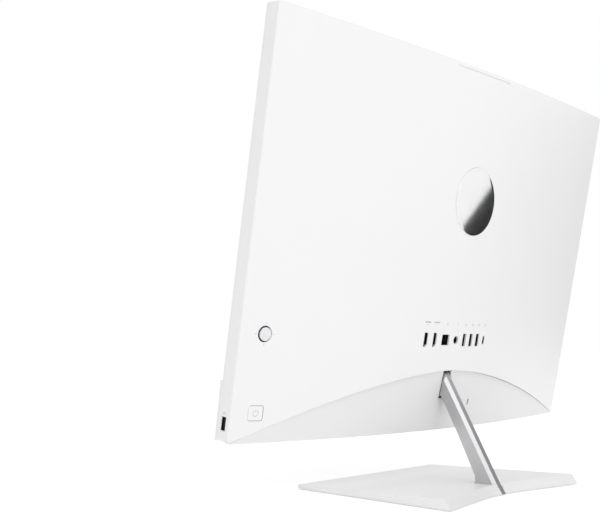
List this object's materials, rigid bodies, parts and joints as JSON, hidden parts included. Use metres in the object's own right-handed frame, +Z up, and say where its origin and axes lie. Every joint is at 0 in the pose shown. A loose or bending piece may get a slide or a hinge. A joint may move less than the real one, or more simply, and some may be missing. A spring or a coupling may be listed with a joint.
{
  "type": "all-in-one desktop computer",
  "caption": "All-in-one computer: domed white display head with a pop-up camera on a slim tilting aluminium bar and a flat wedge base.",
  "frame": {"origin": "on the table, at the centre of the base's footprint", "axes": "+Z up, +X to the user's right, +Y to the rear; the screen faces -Y"},
  "size_m": [0.6126, 0.203, 0.4651],
  "materials": {
    "shell_white": "satin moulded plastic, fine grain",
    "lower_white": "satin moulded plastic, fine grain",
    "base_white": "satin moulded plastic, fine grain",
    "frame_white": "satin moulded plastic",
    "arm_aluminium": "brushed along its length, anodised",
    "badge_chrome": "polished",
    "screen_glass": "clear over a black border",
    "panel_black": "dark screen, off",
    "light_guide": "clear acrylic",
    "grille_cloth": "woven acoustic cloth",
    "sheet_steel": "galvanised sheet",
    "base_steel": "powder coated plate",
    "pin_steel": "ground steel",
    "circuit_green": "solder mask",
    "socket_black": "moulded",
    "moulded_black": "moulded",
    "speaker_cone": "pressed paper cone",
    "stick_grey": "satin silver",
    "heat_copper": "copper",
    "fin_aluminium": "milled",
    "ribbon": "film",
    "lens_glass": "coated lens",
    "foot_rubber": "soft rubber"
  },
  "bodies": {
    "stand": {"base_cover": "base_white", "base_plate": "base_steel", "foot_block": "sheet_steel", "base_screws": "pin_steel", "base_feet": "foot_rubber", "arm": "arm_aluminium", "hinge_pin": "pin_steel", "hinge_washers": "pin_steel"},
    "head": {"antennas": "heat_copper", "badge": "badge_chrome", "camera_guides": "moulded_black", "chassis_screws": "pin_steel", "chin_cover": "frame_white", "coin_cell": "pin_steel", "cover_glass": "screen_glass", "display_cable": "ribbon", "drive_bracket": "sheet_steel", "fan_housing": "moulded_black", "hard_drive": "fin_aluminium", "hdmi_sockets": "socket_black", "heat_fins": "fin_aluminium", "heat_pipes": "heat_copper", "heat_sink": "fin_aluminium", "hinge_bracket": "sheet_steel", "io_board": "circuit_green", "io_bracket": "sheet_steel", "joystick_base": "moulded_black", "lcd_panel": "panel_black", "light_guide": "light_guide", "light_strip": "light_guide", "lock_plate": "sheet_steel", "lower_cover": "lower_white", "main_board": "circuit_green", "main_chassis": "sheet_steel", "memory_modules": "circuit_green", "middle_frame": "frame_white", "network_socket": "socket_black", "panel_board": "circuit_green", "panel_pan": "sheet_steel", "power_inlet": "socket_black", "power_switch": "circuit_green", "processor": "fin_aluminium", "rear_cover": "shell_white", "side_board": "circuit_green", "side_usb_socket": "socket_black", "solid_state_drive": "circuit_green", "speaker_boxes": "moulded_black", "speaker_drivers": "speaker_cone", "speaker_grille": "grille_cloth", "usb_a_sockets": "socket_black", "usb_c_socket": "socket_black", "wireless_card": "circuit_green"},
    "camera": {"camera_housing": "shell_white", "camera_lens": "lens_glass", "camera_sensor_board": "circuit_green"},
    "power_key": {"power_button": "shell_white"},
    "stick_yoke": {"joystick_yoke": "moulded_black"},
    "stick_stem": {"joystick_stem": "moulded_black"},
    "stick_cap": {"joystick_cap": "stick_grey"},
    "fan": {"fan_rotor": "moulded_black"}
  },
  "joints": [
    {"name": "head_tilt", "type": "hinge", "parent": "stand", "child": "head", "pos_m": [0, -0.00788, 0.10959], "axis": [1, 0, 0], "range_deg": [-15, 10]},
    {"name": "camera_slide", "type": "slide", "parent": "head", "child": "camera", "axis": [0, 0.1719, 0.9851], "range_m": [0, 0.024]},
    {"name": "power_press", "type": "slide", "parent": "head", "child": "power_key", "axis": [-0.1753, -0.9698, 0.1693], "range_m": [0, 0.0008], "stiffness_N_per_m": 500, "springref_m": -0.0008},
    {"name": "stick_up_down", "type": "hinge", "parent": "head", "child": "stick_yoke", "pos_m": [0.27782, -0.00842, 0.17262], "axis": [0.9845, -0.1729, 0.0302], "range_deg": [-6, 6], "stiffness_Nm_per_rad": 0.04},
    {"name": "stick_left_right", "type": "hinge", "parent": "stick_yoke", "child": "stick_stem", "pos_m": [0.27782, -0.00842, 0.17262], "axis": [0, -0.1719, -0.9851], "range_deg": [-6, 6], "stiffness_Nm_per_rad": 0.04},
    {"name": "stick_press", "type": "slide", "parent": "stick_stem", "child": "stick_cap", "axis": [-0.1755, -0.9698, 0.1693], "range_m": [0, 0.0003], "stiffness_N_per_m": 400, "springref_m": -0.0005},
    {"name": "fan_spin", "type": "hinge", "parent": "head", "child": "fan", "pos_m": [0.13, 0.02412, 0.35403], "axis": [0, 0.9851, -0.1719], "continuous": true}
  ]
}
